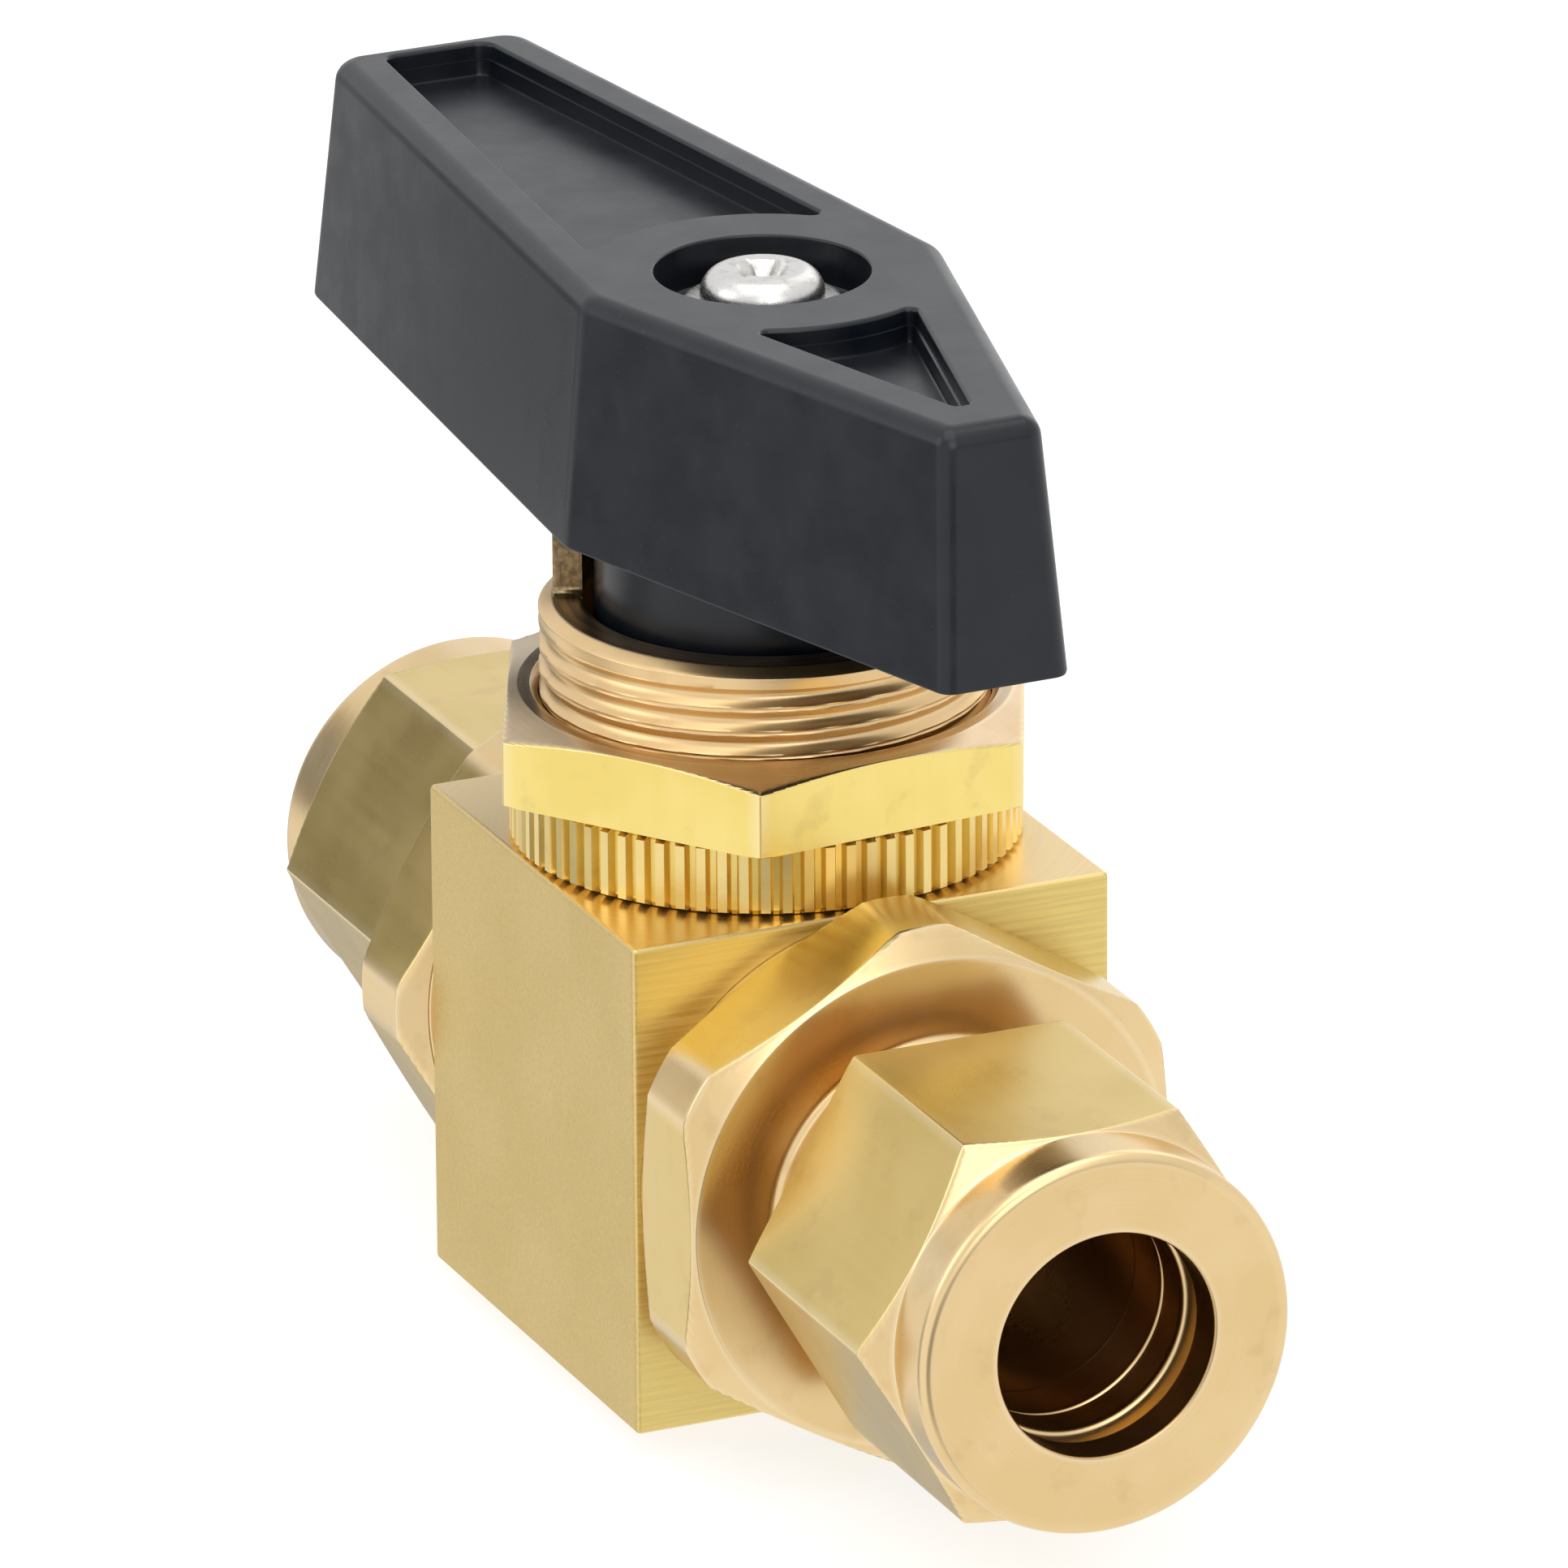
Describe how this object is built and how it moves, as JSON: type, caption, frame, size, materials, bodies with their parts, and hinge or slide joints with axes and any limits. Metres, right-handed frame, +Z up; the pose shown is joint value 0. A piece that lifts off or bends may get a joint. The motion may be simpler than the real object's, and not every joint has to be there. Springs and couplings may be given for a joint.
{
  "type": "quarter-turn ball valve",
  "caption": "Panel-mount two-way valve with a square brass body, a black directional lever and compression tube fittings on both ends.",
  "frame": {"origin": "centre of the square block's base face", "axes": "+X along the flow out of end a, under the nose of the open handle; +Z up the stem"},
  "size_m": [0.0928, 0.0334, 0.0637],
  "materials": {
    "body_brass": "satin, finely milled",
    "turned_brass": "satin, turned",
    "bar_brass": "drawn bar with turned faces",
    "handle_plastic": "satin moulded",
    "plated_steel": "bright plated",
    "stem_steel": "polished",
    "seal_plastic": "smooth"
  },
  "bodies": {
    "valve_body": {"body": "body_brass", "seat_a": "seal_plastic", "seat_b": "seal_plastic", "end_connector_a": "turned_brass", "end_connector_b": "turned_brass", "connector_seal_a": "seal_plastic", "connector_seal_b": "seal_plastic", "front_ferrule_a": "turned_brass", "front_ferrule_b": "turned_brass", "back_ferrule_a": "turned_brass", "back_ferrule_b": "turned_brass", "thrust_washer": "seal_plastic", "packing_lower": "seal_plastic", "packing_middle": "seal_plastic", "packing_upper": "seal_plastic", "gland_ring": "stem_steel", "packing_nut": "turned_brass"},
    "handle_group": {"handle": "handle_plastic", "handle_screw": "plated_steel", "screw_washer": "plated_steel", "stem": "stem_steel", "ball": "stem_steel"},
    "panel_nut": {"panel_nut": "bar_brass"},
    "knurled_ring": {"knurled_ring": "turned_brass"},
    "tube_nut_a": {"tube_nut_a": "turned_brass"},
    "tube_nut_b": {"tube_nut_b": "turned_brass"}
  },
  "joints": [
    {"name": "handle_turn", "type": "hinge", "parent": "valve_body", "child": "handle_group", "pos_m": [0, 0, 0.0145], "axis": [0, 0, 1], "range_deg": [-91.2, 0]},
    {"name": "panel_nut_turn", "type": "hinge", "parent": "valve_body", "child": "panel_nut", "pos_m": [0, 0, 0.0356], "axis": [0, 0, 1], "continuous": true},
    {"name": "knurled_ring_turn", "type": "hinge", "parent": "valve_body", "child": "knurled_ring", "pos_m": [0, 0, 0.0312], "axis": [0, 0, 1], "continuous": true},
    {"name": "tube_nut_a_turn", "type": "hinge", "parent": "valve_body", "child": "tube_nut_a", "pos_m": [0.0356, 0, 0.0145], "axis": [1, 0, 0], "continuous": true},
    {"name": "tube_nut_b_turn", "type": "hinge", "parent": "valve_body", "child": "tube_nut_b", "pos_m": [-0.0356, 0, 0.0145], "axis": [-1, 0, 0], "continuous": true}
  ]
}
